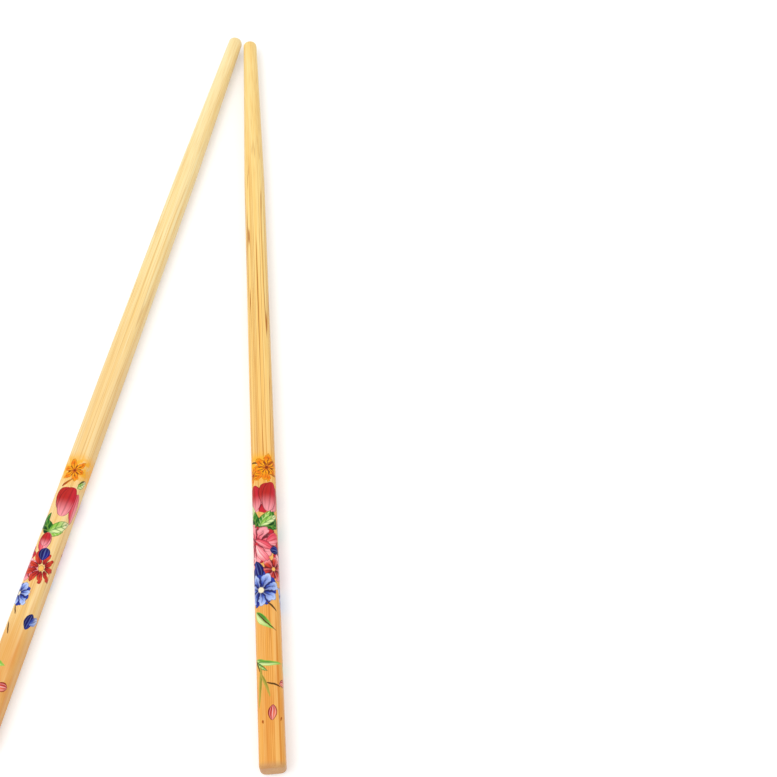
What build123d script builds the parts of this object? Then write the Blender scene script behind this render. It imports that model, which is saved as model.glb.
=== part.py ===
from build123d import *
import os

# A pair of bamboo chopsticks, laid on a surface in an open V.
# X runs across the pair, +Y points from the handles to the eating ends, +Z is up.
# The origin is under the middle of the pair's bounding box, on the surface that it lies on.
# All lengths are in millimetres and all angles in degrees.

# One chopstick: a square handle with rounded long edges, whose front is turned to a round tip
stick_length = 240.0
handle_width = 6.0
long_edge_radius = 1.7
butt_edge_radius = 0.9
tip_diameter = 4.2
tip_edge_radius = 1.5

# The turned front, measured back from the tip. The corners of the square come away over
# taper_length, and from cone_length on the stick is a round cone. The last sanding leaves
# four narrow flats along it, in line with the faces of the handle.
taper_length = 138.0
cone_length = 62.0
sanded_flat = 0.3

# How the pair lies: the angle between the sticks, the clear gap between their tips, and how far
# the left tip lies ahead of the right one
opening_angle = 15.0
tip_gap = 0.5
left_lead = 1.6

# An edge radius is never quite as large as the material that it rounds
most_of_a_wall = 0.9

tip_place = stick_length
cone_place = stick_length - cone_length
taper_place = stick_length - taper_length


def outline(width, corner_radius, place):
    """A stick's outline at one place along it: a square with rounded corners."""
    return Plane.XZ.offset(-place) * RectangleRounded(width, width, corner_radius)


def round_outline(width, place):
    """The outline where the stick is turned round, but for its four narrow flats."""
    return outline(width, (width - sanded_flat) / 2, place)


def handle():
    """The square handle: a straight bar with rounded long edges and an eased butt end."""
    bar = extrude(outline(handle_width, long_edge_radius, 0), amount=taper_place, dir=(0, 1, 0))
    butt_edges = bar.edges().group_by(Axis.Y)[0]
    return fillet(butt_edges, min(butt_edge_radius, most_of_a_wall * long_edge_radius))


def shoulder():
    """The stretch where the square's corners run out and its faces narrow to the sanded flats."""
    square_end = outline(handle_width, long_edge_radius, taper_place)
    return loft([square_end, round_outline(handle_width, cone_place)])


def cone():
    """The round eating end, a slender cone with an eased tip."""
    body = loft([round_outline(handle_width, cone_place), round_outline(tip_diameter, tip_place)])
    tip_edges = body.edges().group_by(Axis.Y)[-1]
    corner_radius = (tip_diameter - sanded_flat) / 2
    return fillet(tip_edges, min(tip_edge_radius, most_of_a_wall * corner_radius))


def chopstick():
    """One stick with its tip at the origin, pointing along +Y, flat on its handle's lower face."""
    return Pos(0, -stick_length, handle_width / 2) * (handle() + shoulder() + cone())


def laid_in_v(stick, side, lead):
    """A stick turned and moved to its side of the V: -1 is left and +1 is right."""
    half_spread = tip_diameter / 2 + tip_gap / 2
    return Pos(side * half_spread, lead, 0) * Rot(0, 0, side * opening_angle / 2) * stick


def main():
    stick = chopstick()
    pair = {
        "left_chopstick": laid_in_v(stick, -1, left_lead),
        "right_chopstick": laid_in_v(stick, 1, 0),
    }

    # The sticks were laid with a tip at the origin, so the middle of the pair is brought there
    middle = Compound(list(pair.values())).bounding_box().center()
    os.makedirs("parts", exist_ok=True)
    for name, laid_stick in pair.items():
        export_step(Pos(-middle.X, -middle.Y, 0) * laid_stick, f"parts/{name}.step")


main()
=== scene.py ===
from math import cos, pi, radians, sin

import bpy
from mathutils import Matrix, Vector


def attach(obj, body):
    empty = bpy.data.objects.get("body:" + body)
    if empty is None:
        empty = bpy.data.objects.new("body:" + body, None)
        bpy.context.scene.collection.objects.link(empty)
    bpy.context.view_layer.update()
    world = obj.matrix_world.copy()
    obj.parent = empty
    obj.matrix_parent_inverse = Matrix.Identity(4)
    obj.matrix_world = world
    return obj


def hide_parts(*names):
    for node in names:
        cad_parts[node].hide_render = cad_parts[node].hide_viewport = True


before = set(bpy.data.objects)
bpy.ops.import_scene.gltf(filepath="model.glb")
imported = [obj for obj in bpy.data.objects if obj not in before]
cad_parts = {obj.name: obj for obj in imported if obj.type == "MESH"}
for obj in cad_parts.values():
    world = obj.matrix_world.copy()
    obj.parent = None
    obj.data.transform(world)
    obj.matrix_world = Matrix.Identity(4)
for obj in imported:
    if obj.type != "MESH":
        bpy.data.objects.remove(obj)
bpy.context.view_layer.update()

# The sticks' and the camera's lengths are in millimetres and become metres with this
MM = 0.001

# One stick: a square handle with rounded long edges, a shoulder where its corners run out, and a
# round cone. Each outline is (width, corner radius, distance from the tip).
STICK_LENGTH = 240.0
HANDLE_WIDTH = 6.0
OUTLINES = (
    (HANDLE_WIDTH, 1.7, STICK_LENGTH),
    (HANDLE_WIDTH, 1.7, 138.0),
    (HANDLE_WIDTH, 2.85, 62.0),
    (4.2, 1.95, 0.0),
)
BUTT_EDGE_RADIUS = 0.9
TIP_EDGE_RADIUS = 1.5
CORNER_SEGMENTS = 8
RINGS_ALONG = 11

# How each stick lies: the place of its tip on the table, and its turn. Then its material's slot,
# and how the decal lies on it: how far it is turned round it, and how much nearer the butt it is
STICKS = {
    "left_chopstick": {
        "tip": (-2.35, 119.87), "turn": radians(-7.5), "slot": "pale_bamboo",
        "print_turn": 9.5, "print_shift": 4.5,
    },
    "right_chopstick": {
        "tip": (2.35, 118.27), "turn": radians(7.5), "slot": "golden_bamboo",
        "print_turn": 0.0, "print_shift": 0.0,
    },
}

# Where the faces of one stretch of a stick end and the next begin, from the tip. Each stretch has
# its own material, which works out only the printed forms that reach into it.
STRETCHES = (
    ("bare front", 0.0, 155.0),
    ("lily and red petals", 155.0, 180.5),
    ("bunch of flowers", 180.5, 206.0),
    ("sprigs and butt", 206.0, STICK_LENGTH),
)


def colour(red, green, blue):
    """A colour on the usual 0 to 255 scale, as the shader's linear values."""
    def straighten(level):
        level /= 255
        return level / 12.92 if level <= 0.04045 else ((level + 0.055) / 1.055) ** 2.4
    return (straighten(red), straighten(green), straighten(blue), 1.0)


class Recipe:
    """The nodes of one material or group, written as plain sums.

    A node is added after the ones that feed it, so that they can be worked out in their order.
    """

    def __init__(self, tree):
        self.tree = tree

    def node(self, kind, inputs=(), **settings):
        node = self.tree.nodes.new("ShaderNode" + kind)
        for name, value in settings.items():
            setattr(node, name, value)
        for socket, value in dict(inputs).items():
            self.feed(node.inputs[socket], value)
        return node

    def feed(self, socket, value):
        if isinstance(value, bpy.types.NodeSocket):
            self.tree.links.new(value, socket)
        else:
            socket.default_value = value

    def sum(self, operation, *values):
        return self.node("Math", enumerate(values), operation=operation).outputs[0]

    def plus(self, first, second):
        return self.sum("ADD", first, second)

    def minus(self, first, second):
        return self.sum("SUBTRACT", first, second)

    def times(self, first, second):
        return self.sum("MULTIPLY", first, second)

    def nudge(self, value, amount, share):
        """A value with a share of an amount added to it."""
        return self.sum("MULTIPLY_ADD", amount, share, value)

    def rise(self, value, low, high, top=1.0):
        """0 below low and top above high, with a smooth step between."""
        inputs = {"Value": value, "From Min": low, "From Max": high, "To Max": top}
        return self.node("MapRange", inputs, interpolation_type="SMOOTHSTEP", clamp=False).outputs[0]

    def mix(self, amount, first, second):
        inputs = {0: amount, 6: first, 7: second}
        return self.node("Mix", inputs, data_type="RGBA").outputs[2]

    def ramp(self, value, *stops):
        """The colour of a value on a scale of (place, colour) stops."""
        node = self.node("ValToRGB", {0: value})
        elements = node.color_ramp.elements
        while len(elements) < len(stops):
            elements.new(1.0)
        for element, (place, tone) in zip(elements, stops):
            element.position = place
            element.color = tone
        return node.outputs[0]

    def separate(self, vector):
        return self.node("SeparateXYZ", {0: vector}).outputs

    def stretch(self, vector, *scales):
        return self.node("VectorMath", {0: vector, 1: scales}, operation="MULTIPLY").outputs[0]

    def noise(self, vector, detail=2.0, roughness=0.5):
        inputs = {"Vector": vector, "Scale": 1.0, "Detail": detail, "Roughness": roughness}
        return self.node("TexNoise", inputs).outputs["Fac"]


# The inks of the printed flowers
BRICK = colour(188, 36, 30)
SCARLET = colour(222, 74, 44)
CORAL = colour(238, 124, 92)
PEACH = colour(252, 190, 96)
CRIMSON = colour(204, 34, 50)
DEEP_RED = colour(96, 4, 20)
ROSE = colour(232, 78, 98)
BLUSH = colour(252, 160, 168)
PALE_PINK = colour(255, 214, 212)
ORANGE = colour(236, 112, 6)
AMBER = colour(252, 170, 16)
RUST = colour(138, 52, 4)
NAVY = colour(6, 4, 84)
INDIGO = colour(26, 24, 130)
BLUE = colour(40, 72, 176)
LAVENDER = colour(146, 172, 240)
PALE_BLUE = colour(206, 220, 250)
CREAM = colour(252, 236, 196)
DARK_GREEN = colour(2, 48, 12)
FOREST = colour(16, 88, 22)
GREEN = colour(40, 126, 32)
LIGHT_GREEN = colour(146, 198, 76)
PALE_GREEN = colour(226, 240, 168)
OLIVE = colour(104, 104, 20)
MOSS = colour(182, 166, 66)
BROWN = colour(84, 36, 10)

# Each kind of blossom: how many petals it has, how far out the middle of a petal lies and how
# wide a petal is, as shares of its radius, how large its heart is, the ink of the heart, the
# petal's inks from the heart outwards, and the ink of its veins and edges
BLOSSOMS = {
    "lily": (6, 0.50, 0.22, 0.12, RUST, (ORANGE, AMBER, ORANGE, AMBER), RUST),
    "wine bloom": (7, 0.48, 0.36, 0.10, DEEP_RED, (DEEP_RED, DEEP_RED, CRIMSON, CRIMSON), DEEP_RED),
    "peony": (7, 0.47, 0.33, 0.12, CRIMSON, (DEEP_RED, ROSE, BLUSH, BLUSH), DEEP_RED),
    "rosette": (5, 0.42, 0.40, 0.18, AMBER, (DEEP_RED, CRIMSON, BLUSH, PALE_PINK), DEEP_RED),
    "pale bloom": (7, 0.50, 0.30, 0.10, ROSE, (ROSE, BLUSH, PALE_PINK, BLUSH), ROSE),
    "daisy": (9, 0.60, 0.15, 0.17, PEACH, (DEEP_RED, BRICK, SCARLET, BRICK), DEEP_RED),
    "navy bloom": (7, 0.50, 0.34, 0.10, NAVY, (NAVY, NAVY, INDIGO, BLUE), NAVY),
    "violet": (7, 0.54, 0.26, 0.18, CREAM, (NAVY, BLUE, LAVENDER, PALE_BLUE), NAVY),
    "poppy": (6, 0.46, 0.36, 0.16, PEACH, (DEEP_RED, BRICK, SCARLET, BLUSH), DEEP_RED),
}

# Each kind of blade, a form with a base, a tip and a rib between them: how blunt its tip is, how
# full its sides are, the inks of its two sides, of its tip, of its ribs and of its edge, how many
# ribs cross it (none where they run along it), and how much they show
BLADES = {
    "leaf": (0.8, 0.9, GREEN, LIGHT_GREEN, LIGHT_GREEN, PALE_GREEN, DARK_GREEN, 5.0, 0.5),
    "dark leaf": (0.8, 0.9, DARK_GREEN, FOREST, GREEN, LIGHT_GREEN, DARK_GREEN, 4.0, 0.4),
    "pale leaf": (0.8, 0.9, LIGHT_GREEN, PALE_GREEN, CREAM, GREEN, GREEN, 4.0, 0.6),
    "grass": (0.7, 1.0, GREEN, PALE_GREEN, LIGHT_GREEN, LIGHT_GREEN, LIGHT_GREEN, 0.0, 0.3),
    "heart petal": (0.85, 0.42, CRIMSON, BRICK, BLUSH, DEEP_RED, DEEP_RED, 0.0, 0.2),
    "rose petal": (1.3, 0.5, ROSE, BLUSH, ROSE, CRIMSON, DEEP_RED, 0.0, 0.5),
    "pale petal": (1.3, 0.5, BLUSH, PALE_PINK, ROSE, ROSE, CRIMSON, 0.0, 0.5),
    "red bud": (1.0, 0.6, BRICK, CORAL, BRICK, PALE_PINK, DEEP_RED, 0.0, 0.4),
    "blue bud": (1.2, 0.5, NAVY, INDIGO, NAVY, LAVENDER, NAVY, 0.0, 0.16),
    "blue petal": (1.2, 0.5, BLUE, LAVENDER, PALE_BLUE, NAVY, BLUE, 0.0, 0.4),
    "stem": (0.8, 0.4, BROWN, OLIVE, BROWN, BROWN, BROWN, 0.0, 0.2),
    "green stem": (0.8, 0.4, OLIVE, MOSS, MOSS, MOSS, MOSS, 0.0, 0.2),
    "orange stroke": (0.8, 0.6, RUST, ORANGE, AMBER, RUST, RUST, 0.0, 0.3),
}

# Half the way round a stick, along which a print place is measured
HALF_ROUND = 2 * HANDLE_WIDTH


def print_group(name, own_inputs):
    """A group for one printed form, with what all of them are given."""
    group = bpy.data.node_groups.new(name, "ShaderNodeTree")
    numbers = ("Around", "Along", "Wobble", "Place around", "Place along", "Turn") + own_inputs
    for socket in numbers + ("Ink",):
        group.interface.new_socket(socket, in_out="INPUT", socket_type="NodeSocketFloat")
    group.interface.new_socket("Under", in_out="INPUT", socket_type="NodeSocketColor")
    group.interface.new_socket("Over", in_out="OUTPUT", socket_type="NodeSocketColor")
    group.interface.new_socket("Ink", in_out="OUTPUT", socket_type="NodeSocketFloat")
    r = Recipe(group)
    given = group.nodes.new("NodeGroupInput").outputs
    across = r.sum("WRAP", r.minus(given["Around"], given["Place around"]), HALF_ROUND, -HALF_ROUND)
    along = r.minus(given["Along"], given["Place along"])
    return r, given, across, along


def print_over(recipe, given, cover, ink):
    """Lays a printed form over what is under it."""
    result = recipe.tree.nodes.new("NodeGroupOutput").inputs
    recipe.feed(result["Over"], recipe.mix(cover, given["Under"], ink))
    recipe.feed(result["Ink"], recipe.sum("MAXIMUM", given["Ink"], cover))
    return recipe.tree


def blossom_group(name, petals, middle, width, heart_size, heart, inks, vein):
    """An open flower: a ring of oval petals that meet under a heart."""
    r, given, across, along = print_group(name, ("Radius",))
    # How far out the point lies, at which petal, and how far to that petal's side
    length = r.sum("SQRT", r.plus(r.times(across, across), r.times(along, along)))
    reach = r.sum("DIVIDE", length, given["Radius"])
    angle = r.plus(r.sum("ARCTAN2", along, across), given["Turn"])
    count = r.nudge(r.times(angle, petals / (2 * pi)), given["Wobble"], 0.7)
    petal = r.sum("ROUND", count)
    side = r.times(r.minus(count, petal), 2.0)
    offset = r.sum("ABSOLUTE", side)
    # Each petal is a little longer or shorter than the next
    seed = r.plus(r.sum("WRAP", petal, petals, 0.0), given["Place along"])
    part = r.times(reach, r.nudge(1.12, r.sum("COSINE", r.times(seed, 2.4)), 0.12))
    part = r.nudge(part, given["Wobble"], 0.22)
    # A petal is an oval, and the gap is 0 on its edge and 1 in its middle
    outward = r.times(r.minus(part, middle), 1 / (1 - middle))
    sideways = r.times(r.times(side, reach), pi / petals / width)
    oval = r.plus(r.times(outward, outward), r.times(sideways, sideways))
    gap = r.minus(1.0, oval)
    # The inks from the heart outwards, one side lighter, then streaks, dark edges and the heart
    places = (heart_size, heart_size + 0.22, 0.70, 0.96)
    ink = r.ramp(part, *zip(places, inks))
    ink = r.mix(r.rise(side, -0.5, 0.9, 0.4), ink, inks[3])
    streaks = r.rise(r.sum("COSINE", r.times(side, 7.5)), 0.3, 0.95)
    ink = r.mix(r.times(streaks, r.rise(part, 1.0, 0.3, 0.95)), ink, vein)
    ink = r.mix(r.rise(offset, 0.70, 1.0, 0.95), ink, vein)
    ink = r.mix(r.rise(gap, 0.32, 0.02, 0.85), ink, vein)
    ink = r.mix(r.rise(reach, heart_size, heart_size * 0.6), ink, heart)
    cover = r.sum("MAXIMUM", r.rise(gap, 0.0, 0.10), r.rise(reach, heart_size, heart_size * 0.8))
    return print_over(r, given, cover, ink)


def blade_group(name, bluntness, fullness, first_side, second_side, tip, rib, edge, ribs, rib_strength):
    """A leaf, petal, bud or stem: a form that swells and closes between its base and its tip."""
    r, given, across, along = print_group(name, ("Length", "Width", "Bend"))
    # How far along the blade and how far out from its bent rib the point lies
    ahead, aside = r.sum("COSINE", given["Turn"]), r.sum("SINE", given["Turn"])
    forward = r.nudge(r.times(across, ahead), along, aside)
    sideways = r.minus(r.times(along, ahead), r.times(across, aside))
    part = r.sum("DIVIDE", forward, given["Length"])
    bent = r.times(r.times(part, part), given["Bend"])
    out = r.nudge(r.minus(sideways, bent), given["Wobble"], 0.3)
    # The blade's half width there, and how far inside its edge the point is
    inside = r.sum("MINIMUM", r.sum("MAXIMUM", part, 0.0), 1.0)
    half = r.sum("SINE", r.times(r.sum("POWER", inside, bluntness), pi))
    half = r.sum("POWER", r.sum("MAXIMUM", half, 0.00001), fullness)
    half = r.times(half, given["Width"])
    offset = r.sum("DIVIDE", out, half)
    gap = r.minus(half, r.sum("ABSOLUTE", out))
    # The inks of its two sides and its tip, then its ribs and its edge
    ink = r.mix(r.rise(offset, -0.6, 0.5), first_side, second_side)
    ink = r.mix(r.rise(part, 0.35, 0.95, 0.9), ink, tip)
    if ribs:
        slant = r.minus(r.times(part, ribs), r.sum("ABSOLUTE", offset))
    else:
        slant = r.times(offset, 1.7)
    lines = r.rise(r.sum("COSINE", r.times(slant, 2 * pi)), 0.35, 1.0, rib_strength)
    ink = r.mix(lines, ink, rib)
    ink = r.mix(r.rise(r.sum("ABSOLUTE", offset), 0.18, 0.06, rib_strength), ink, rib)
    ink = r.mix(r.rise(gap, 0.36, 0.04, 0.85), ink, edge)
    return print_over(r, given, r.rise(gap, 0.0, 0.09), ink)


# The print, from the lowest layer up. A blossom is (kind, around, along, radius, turn) and a
# blade is (kind, around, along, turn, length, half width, bend), from the middle of its base.
# Around is measured from the middle of the right stick's upper face and along from the tip. A
# turn, in degrees, of 0 points round the stick and of 90 to the butt.
PRINT = (
    ("stem", -3.6, 161.6, 4, 2.6, 0.3, 0.2),
    ("lily", 0.4, 163.9, 4.0, 52),
    ("lily", 1.0, 163.4, 4.5, 20),
    ("lily", -2.8, 165.4, 3.0, 75),
    ("lily", 9.7, 163.6, 3.6, 50),
    ("orange stroke", 3.4, 161.4, 150, 3.4, 0.35, 0.4),
    ("orange stroke", 8.0, 168.6, -60, 3.4, 0.35, 0.4),
    ("orange stroke", 4.8, 165.4, 170, 3.0, 0.35, 0.4),
    ("pale leaf", 12.2, 168.4, -50, 4.8, 1.1, 0.5),
    ("stem", 12.0, 167.4, -46, 3.6, 0.22, 0.4),
    ("wine bloom", 0.2, 172.4, 4.2, 10),
    ("pale bloom", -3.6, 173.8, 3.4, 10),
    ("heart petal", 4.8, 169.2, 108, 7.8, 1.9, 0.3),
    ("heart petal", -2.7, 168.4, 84, 7.4, 1.9, 0.2),
    ("heart petal", 0.5, 167.9, 82, 8.0, 2.3, -0.3),
    ("heart petal", 2.2, 167.7, 96, 8.4, 2.2, 0.3),
    ("rose petal", 14.4, 178.0, -98, 8.4, 2.2, 0.4),
    ("heart petal", 9.1, 168.6, 78, 8.0, 2.3, -0.3),
    ("heart petal", 11.0, 168.4, 92, 8.4, 2.4, 0.3),
    ("heart petal", -4.9, 168.8, 96, 7.6, 1.7, 0.3),
    ("leaf", -4.4, 181.6, -62, 5.4, 1.1, -0.5),
    ("dark leaf", 1.6, 181.8, -84, 6.0, 1.8, 0.3),
    ("dark leaf", 3.8, 181.0, -118, 5.6, 1.4, 0.3),
    ("dark leaf", -0.4, 180.8, -160, 6.0, 1.7, 0.6),
    ("pale leaf", -2.8, 178.6, -112, 5.4, 1.4, 0.6),
    ("dark leaf", -2.2, 181.2, -100, 5.6, 1.5, 0.6),
    ("dark leaf", -1.0, 179.8, 14, 5.4, 1.2, -0.6),
    ("leaf", -1.4, 180.2, -64, 5.4, 1.1, 0.9),
    ("pale leaf", -1.2, 180.0, -34, 6.4, 1.1, 0.6),
    ("dark leaf", 6.0, 181.0, -76, 5.2, 1.3, 0.6),
    ("dark leaf", 9.6, 182.4, -126, 5.6, 1.5, 0.5),
    ("leaf", 8.4, 181.8, -8, 4.6, 1.2, -0.5),
    ("pale leaf", 8.8, 181.4, -36, 6.4, 1.6, 0.4),
    ("wine bloom", -2.2, 184.9, 6.0, 36),
    ("peony", -2.2, 184.8, 6.2, 10),
    ("rose petal", 0.2, 184.8, -24, 4.6, 1.9, 0.3),
    ("pale petal", -2.4, 185.0, 66, 6.2, 1.2, -0.9),
    ("rose petal", -2.8, 183.6, 24, 5.4, 1.0, 0.8),
    ("wine bloom", 4.6, 187.8, 3.6, 0),
    ("pale bloom", 5.0, 190.4, 3.4, 20),
    ("blue bud", 4.4, 186.9, -178, 3.2, 1.2, 0.0),
    ("rose petal", 8.8, 187.4, -92, 5.8, 1.6, 0.3),
    ("heart petal", 8.8, 181.8, 92, 3.6, 1.2, 0.0),
    ("poppy", 2.0, 192.0, 4.0, 10),
    ("navy bloom", -3.4, 192.8, 3.4, 0),
    ("blue bud", -2.9, 189.4, 72, 4.8, 1.7, 0.2),
    ("peony", 7.2, 192.2, 3.4, 10),
    ("rosette", -4.9, 189.6, 2.6, 20),
    ("daisy", 10.3, 191.3, 5.0, 0),
    ("blue bud", 9.8, 189.2, -90, 3.4, 1.5, 0.0),
    ("navy bloom", -1.4, 197.4, 4.7, 41),
    ("violet", -1.3, 197.3, 5.0, 15),
    ("navy bloom", 7.0, 198.4, 3.5, 34),
    ("violet", 6.9, 198.3, 3.7, 60),
    ("grass", -3.2, 202.8, 50, 6.6, 1.25, -0.6),
    ("stem", -2.6, 203.0, 50, 7.0, 0.2, -0.5),
    ("stem", 0.0, 200.2, 46, 3.8, 0.26, 0.2),
    ("stem", 7.0, 201.2, 60, 2.8, 0.24, 0.2),
    ("stem", 6.9, 205.6, 66, 3.4, 0.26, 0.2),
    ("blue bud", 11.9, 207.0, -80, 4.2, 1.6, 0.2),
    ("blue petal", 12.6, 205.6, -36, 4.4, 1.1, 0.2),
    ("grass", -3.8, 214.6, 24, 6.6, 0.6, -1.6),
    ("grass", -3.4, 215.4, 10, 7.6, 0.7, -0.8),
    ("leaf", -3.8, 215.2, 42, 4.4, 0.6, -0.6),
    ("stem", -3.8, 214.8, 56, 3.6, 0.26, 0.4),
    ("grass", 5.0, 215.6, 4, 5.4, 1.1, 0.4),
    ("green stem", -1.9, 216.6, 92, 9.8, 0.5, 0.7),
    ("green stem", -2.0, 218.2, 62, 6.0, 0.4, 0.8),
    ("stem", -0.6, 220.4, 14, 3.8, 0.26, 0.4),
    ("stem", 2.6, 221.0, 30, 1.6, 0.22, 0.0),
    ("red bud", 2.5, 221.0, -12, 3.8, 1.0, 0.1),
    ("red bud", 0.4, 229.4, -88, 3.7, 1.1, 0.2),
    ("red bud", 9.4, 221.6, -8, 3.8, 1.2, 0.2),
    ("orange stroke", -1.9, 229.2, 70, 0.9, 0.3, 0.0),
    ("orange stroke", 3.1, 228.6, 120, 1.2, 0.3, 0.0),
)

# The yellow glow that the print starts with: its ink, where it fades in, and where it fades out
GLOW = colour(252, 178, 26)
GLOW_IN = (157.5, 161.5)
GLOW_OUT = (169.0, 164.0)

# How much further a printed form may reach than its radius or length, as its edge wobbles
REACH_MARGIN = 1.15


def reaches(form, start, end):
    """Whether a printed form reaches into a stretch of the print."""
    place_along = form[2]
    size = REACH_MARGIN * (form[3] if form[0] in BLOSSOMS else form[4])
    return start - size < place_along < end + size


def printed(r, groups, forms, around, along, wobble, bamboo):
    """The flower print over the bamboo. Gives its colours and where there is ink."""
    glow = r.times(r.rise(along, *GLOW_IN), r.rise(along, *GLOW_OUT))
    glow = r.times(glow, r.rise(wobble, -0.3, 0.1, 0.95))
    over, ink = r.mix(glow, bamboo, GLOW), 0.0
    for name, place_around, place_along, *rest in forms:
        if name in BLOSSOMS:
            radius, turn = rest
            own = {"Radius": radius}
        else:
            turn, length, half_width, bend = rest
            own = {"Length": length, "Width": half_width, "Bend": bend}
        values = {
            "Around": around, "Along": along, "Wobble": wobble, "Under": over, "Ink": ink,
            "Place around": place_around, "Place along": place_along, "Turn": radians(turn),
        }
        form = r.node("Group", node_tree=groups[name])
        for socket, value in (values | own).items():
            r.feed(form.inputs[socket], value)
        over, ink = form.outputs["Over"], form.outputs["Ink"]
    return over, ink


def round_place(r, across, height):
    """How far round the stick a point lies, along the square's faces from the upper one's middle."""
    angle = r.sum("ARCTAN2", across, height)
    face = r.sum("ROUND", r.times(angle, 2 / pi))
    on_face = r.sum("TANGENT", r.minus(angle, r.times(face, pi / 2)))
    return r.plus(r.times(face, HANDLE_WIDTH), r.times(on_face, HANDLE_WIDTH / 2))


# The deeper patches near the butt, and the greyish tan of painted shade on the rounded butt's end face
AMBER_PATCH = colour(222, 134, 48)
PAINTED_BUTT_SHADE = colour(178, 140, 104)

# How many edges of growth layers show as fine lines where the bamboo's tone swings fully
LAYERS = 11.0

# The tones of each stick's bamboo, how much the edges of its layers show, and its warmings: where,
# from the tip, the handle turns warmer, and by how much
BAMBOO_TONES = {
    "pale_bamboo": {
        "light": colour(255, 240, 188), "middle": colour(254, 226, 160), "dark": colour(242, 200, 120),
        "fibre": colour(204, 150, 78), "warm": colour(226, 158, 74), "layer_strength": 0.42,
        "warmings": ((100.0, 150.0, 0.26), (204.0, 217.0, 0.66)),
    },
    "golden_bamboo": {
        "light": colour(255, 230, 158), "middle": colour(253, 214, 130), "dark": colour(242, 186, 92),
        "fibre": colour(182, 108, 34), "warm": colour(234, 154, 60), "layer_strength": 0.95,
        "warmings": ((100.0, 215.0, 0.64),),
    },
}

# The surface: how rough the bamboo is, how much rougher its light bands are and how much smoother
# the ink, how much the bamboo shines, and how much and how sharply the lacquer does
ROUGHNESS = 0.34
BAND_ROUGHNESS = 0.16
INK_SMOOTHNESS = 0.12
BAMBOO_SHINE = 0.16
LACQUER_SHINE = 0.08
LACQUER_ROUGHNESS = 0.15

# How deep the fibres' fine relief is, how much of it shows, and the threads' share in it
RELIEF_DEPTH = 0.05
RELIEF_STRENGTH = 0.3
THREAD_RELIEF = 0.3


def grain(r, point, across, along, detail=2.0, roughness=0.5):
    """A pattern with its swings per millimetre across and along the stick."""
    return r.noise(r.stretch(point, across, along, across), detail, roughness)


def bamboo_colours(r, point, along, light, middle, dark, fibre, warm, layer_strength, warmings):
    """Split bamboo: soft strips of tone, fine fibres, and the short dark ends of the sap vessels."""
    # Broad strips and narrow bands of tone, with fine threads over them
    strips = grain(r, point, 0.8, 0.010)
    bands = grain(r, point, 3.4, 0.022, 3.0, 0.6)
    threads = grain(r, point, 7.0, 0.06)
    tone = r.plus(r.times(strips, 0.55), r.times(bands, 0.45))
    bamboo = r.ramp(tone, (0.36, dark), (0.5, middle), (0.64, light))
    bamboo = r.mix(r.rise(threads, 0.5, 0.70, 0.55), bamboo, dark)
    bamboo = r.mix(r.rise(threads, 0.5, 0.32, 0.4), bamboo, light)
    # The edges of the growth layers, as lines that fade out towards the tip
    layers = r.times(grain(r, point, 0.6, 0.004, 1.0), LAYERS)
    layer_edge = r.sum("ABSOLUTE", r.sum("WRAP", layers, 0.5, -0.5))
    layer_shade = r.times(r.rise(layer_edge, 0.17, 0.05, layer_strength), r.rise(along, 10.0, 110.0))
    bamboo = r.mix(layer_shade, bamboo, fibre)
    # Lighter towards the tip and warmer in the handle
    bamboo = r.mix(r.rise(along, 90.0, 5.0, 0.3), bamboo, light)
    for start, end, share in warmings:
        bamboo = r.mix(r.rise(along, start, end, share), bamboo, warm)
    # The dark ends of the sap vessels, which crowd where the strips are dark
    vessels = r.node("TexVoronoi", {"Vector": r.stretch(point, 3.2, 0.05, 3.2), "Scale": 1.0})
    crowd = r.rise(strips, 0.58, 0.42, 0.24)
    dashes = r.times(r.rise(vessels.outputs["Distance"], 0.32, 0.10), r.plus(crowd, 0.1))
    bamboo = r.mix(dashes, bamboo, fibre)
    # Deeper patches near the butt, and painted shade on its rounded end
    patches = grain(r, point, 0.42, 0.06)
    patch = r.times(r.rise(patches, 0.48, 0.64, 0.4), r.rise(along, 180.0, 225.0))
    bamboo = r.mix(patch, bamboo, AMBER_PATCH)
    bamboo = r.mix(r.rise(along, 238.2, 239.8, 0.55), bamboo, PAINTED_BUTT_SHADE)
    return bamboo, bands, threads


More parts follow.
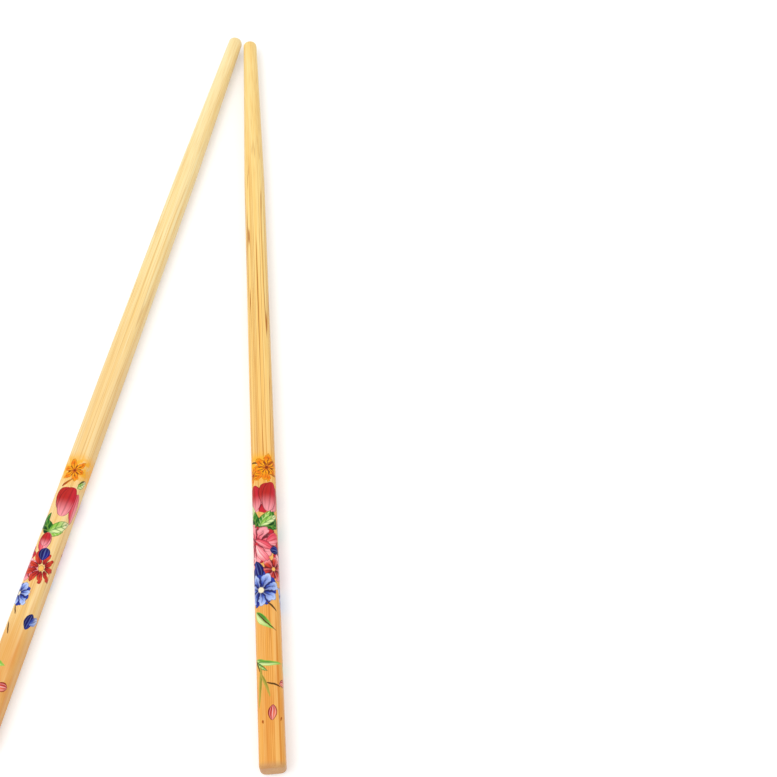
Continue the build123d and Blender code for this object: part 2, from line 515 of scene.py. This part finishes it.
def lacquered_bamboo(stick, groups, stretch, start, end):
    """The lacquered bamboo of one stretch of a stick, with the part of the print that lies there."""
    material = bpy.data.materials.new(f"{stick['slot'].replace('_', ' ')}, {stretch}")
    material.use_nodes = True
    r = Recipe(material.node_tree)
    shader = material.node_tree.nodes["Principled BSDF"]
    tip_across, tip_along = stick["tip"]
    laid = {
        "Vector": r.node("TexCoord").outputs["Object"],
        "Location": (tip_across * MM, tip_along * MM, HANDLE_WIDTH / 2 * MM),
        "Rotation": (0, 0, stick["turn"]),
        "Scale": (MM, MM, MM),
    }
    point = r.node("Mapping", laid, vector_type="TEXTURE").outputs[0]
    across, towards_tip, height = r.separate(point)
    along = r.times(towards_tip, -1.0)
    bamboo, bands, threads = bamboo_colours(r, point, along, **BAMBOO_TONES[stick["slot"]])
    around = r.plus(round_place(r, across, height), stick["print_turn"])
    shift = stick["print_shift"]
    print_along = r.minus(along, shift)
    wobble = r.minus(grain(r, point, 0.9, 0.9, 3.0), 0.5)
    forms = [form for form in PRINT if reaches(form, start - shift, end - shift)]
    over, ink = printed(r, groups, forms, around, print_along, wobble, bamboo)
    r.feed(shader.inputs["Base Color"], over)
    fibre_roughness = r.plus(ROUGHNESS, r.times(bands, BAND_ROUGHNESS))
    r.feed(shader.inputs["Roughness"], r.minus(fibre_roughness, r.times(ink, INK_SMOOTHNESS)))
    shader.inputs["Specular IOR Level"].default_value = BAMBOO_SHINE
    shader.inputs["Coat Weight"].default_value = LACQUER_SHINE
    shader.inputs["Coat Roughness"].default_value = LACQUER_ROUGHNESS
    relief = r.plus(bands, r.times(threads, THREAD_RELIEF))
    bump = {"Strength": RELIEF_STRENGTH, "Distance": RELIEF_DEPTH * MM, "Height": relief}
    r.feed(shader.inputs["Normal"], r.node("Bump", bump).outputs[0])
    return material


def add_outline(width, corner_radius, from_tip):
    """One outline of the stick across its length: a square plate with rounded corners."""
    place = (0, -from_tip * MM, 0)
    bpy.ops.mesh.primitive_plane_add(size=width * MM, location=place, rotation=(pi / 2, 0, 0))
    bpy.ops.object.mode_set(mode="EDIT")
    bpy.ops.mesh.select_all(action="SELECT")
    bpy.ops.mesh.bevel(offset=corner_radius * MM, segments=CORNER_SEGMENTS, affect="VERTICES")
    bpy.ops.object.mode_set(mode="OBJECT")
    return bpy.context.object


def select_ring(stick, from_tip):
    """Selects the edges of the ring at one distance from the tip."""
    bpy.ops.object.mode_set(mode="EDIT")
    bpy.ops.mesh.select_mode(type="EDGE")
    bpy.ops.mesh.select_all(action="DESELECT")
    bpy.ops.object.mode_set(mode="OBJECT")
    points = stick.data.vertices
    for edge in stick.data.edges:
        ends = [points[index].co.y + from_tip * MM for index in edge.vertices]
        edge.select = max(abs(end) for end in ends) < 0.01 * MM
    bpy.ops.object.mode_set(mode="EDIT")


def chopstick(name, groups):
    """A smooth stick over its CAD node: outlines bridged into walls, closed and rounded at the ends."""
    stick_facts = STICKS[name]
    bpy.ops.object.select_all(action="DESELECT")
    outlines = [add_outline(*outline) for outline in OUTLINES]
    for outline in outlines:
        outline.select_set(True)
    bpy.ops.object.join()
    stick = bpy.context.object
    stick.name = name.replace("_chopstick", "_stick")
    bpy.ops.object.transform_apply(location=True, rotation=True, scale=True)
    bpy.ops.object.mode_set(mode="EDIT")
    bpy.ops.mesh.select_all(action="SELECT")
    bpy.ops.mesh.delete(type="ONLY_FACE")
    bpy.ops.mesh.select_all(action="SELECT")
    bpy.ops.mesh.bridge_edge_loops(type="SINGLE", number_cuts=RINGS_ALONG, interpolation="LINEAR")
    for from_tip, edge_radius in ((STICK_LENGTH, BUTT_EDGE_RADIUS), (0.0, TIP_EDGE_RADIUS)):
        select_ring(stick, from_tip)
        bpy.ops.mesh.edge_face_add()
        select_ring(stick, from_tip)
        bpy.ops.mesh.bevel(offset=edge_radius * MM, segments=CORNER_SEGMENTS)
    bpy.ops.mesh.select_all(action="SELECT")
    bpy.ops.mesh.normals_make_consistent(inside=False)
    bpy.ops.object.mode_set(mode="OBJECT")
    bpy.ops.object.shade_smooth_by_angle(angle=radians(30))
    stick.data.materials.clear()
    for stretch_name, start, end in STRETCHES:
        bamboo = lacquered_bamboo(stick_facts, groups, stretch_name, start, end)
        stick.data.materials.append(bamboo)
    for face in stick.data.polygons:
        from_tip = -face.center.y / MM
        face.material_index = sum(from_tip > stretch[2] for stretch in STRETCHES[:-1])
    stick.rotation_euler = (0, 0, stick_facts["turn"])
    tip_across, tip_along = stick_facts["tip"]
    stick.location = (tip_across * MM, tip_along * MM, HANDLE_WIDTH / 2 * MM)
    bpy.ops.object.transform_apply(location=True, rotation=True, scale=True)
    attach(stick, "root")
    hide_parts(name)


# The camera looks down on the pair from the handles' end
CAMERA_TARGET = (54.44, -13.96, 0.0)
CAMERA_DISTANCE = 336.6
CAMERA_ELEVATION = radians(56.34)
CAMERA_AZIMUTH = radians(2.73)
CAMERA_LENS = 57.33

# The white table, its own glow, and the light of the room and of the lamp. Lengths are in metres.
TABLE_SIZE = 6.0
TABLE_GREY = (0.8, 0.8, 0.8, 1)
TABLE_GLOW = 0.3
ROOM_LIGHT = 0.84
LAMP_POWER = 1.5
LAMP_SIZE = (0.5, 0.35)
LAMP_PLACE = (-0.25, -0.2, 0.65)


def set_camera():
    """A camera that looks down on its target from a steady distance."""
    towards_camera = Vector((
        sin(CAMERA_AZIMUTH) * cos(CAMERA_ELEVATION),
        -cos(CAMERA_AZIMUTH) * cos(CAMERA_ELEVATION),
        sin(CAMERA_ELEVATION),
    ))
    camera_data = bpy.data.cameras.new("camera")
    camera_data.lens = CAMERA_LENS
    camera_data.clip_start = 0.01
    camera = bpy.data.objects.new("camera", camera_data)
    camera.location = (Vector(CAMERA_TARGET) + towards_camera * CAMERA_DISTANCE) * MM
    camera.rotation_euler = (pi / 2 - CAMERA_ELEVATION, 0, CAMERA_AZIMUTH)
    bpy.context.scene.collection.objects.link(camera)
    bpy.context.scene.camera = camera


def set_table():
    """A white table that glows a little for the camera and in gloss, and keeps the shadows."""
    bpy.ops.object.select_all(action="DESELECT")
    bpy.ops.mesh.primitive_plane_add(size=TABLE_SIZE, location=(0, 0, 0))
    table = bpy.context.object
    table.name = "table"
    material = bpy.data.materials.new("white table")
    material.use_nodes = True
    r = Recipe(material.node_tree)
    material.node_tree.nodes.clear()
    path = r.node("LightPath").outputs
    surface = r.node("BsdfDiffuse", {"Color": TABLE_GREY}).outputs[0]
    seen = r.sum("MAXIMUM", path["Is Camera Ray"], path["Is Glossy Ray"])
    strength = r.times(r.sum("MAXIMUM", seen, path["Is Transmission Ray"]), TABLE_GLOW)
    glow = r.node("Emission", {"Strength": strength}).outputs[0]
    both = r.node("AddShader", {0: surface, 1: glow}).outputs[0]
    r.node("OutputMaterial", {"Surface": both})
    table.data.materials.append(material)


def set_lights():
    """A bright white room, and one soft box at the upper left."""
    world = bpy.data.worlds.new("studio")
    bpy.context.scene.world = world
    world.use_nodes = True
    background = world.node_tree.nodes["Background"]
    background.inputs["Color"].default_value = (1, 1, 1, 1)
    background.inputs["Strength"].default_value = ROOM_LIGHT
    lamp_data = bpy.data.lights.new("soft box", "AREA")
    lamp_data.shape = "RECTANGLE"
    lamp_data.size, lamp_data.size_y = LAMP_SIZE
    lamp_data.energy = LAMP_POWER
    lamp = bpy.data.objects.new("soft box", lamp_data)
    lamp.location = LAMP_PLACE
    lamp.rotation_euler = (-lamp.location).to_track_quat("-Z", "Y").to_euler()
    bpy.context.scene.collection.objects.link(lamp)


bpy.context.scene.view_settings.view_transform = "Standard"
set_camera()
set_table()
set_lights()
print_groups = {name: blossom_group(name, *values) for name, values in BLOSSOMS.items()}
print_groups |= {name: blade_group(name, *values) for name, values in BLADES.items()}
for stick_name in STICKS:
    chopstick(stick_name, print_groups)
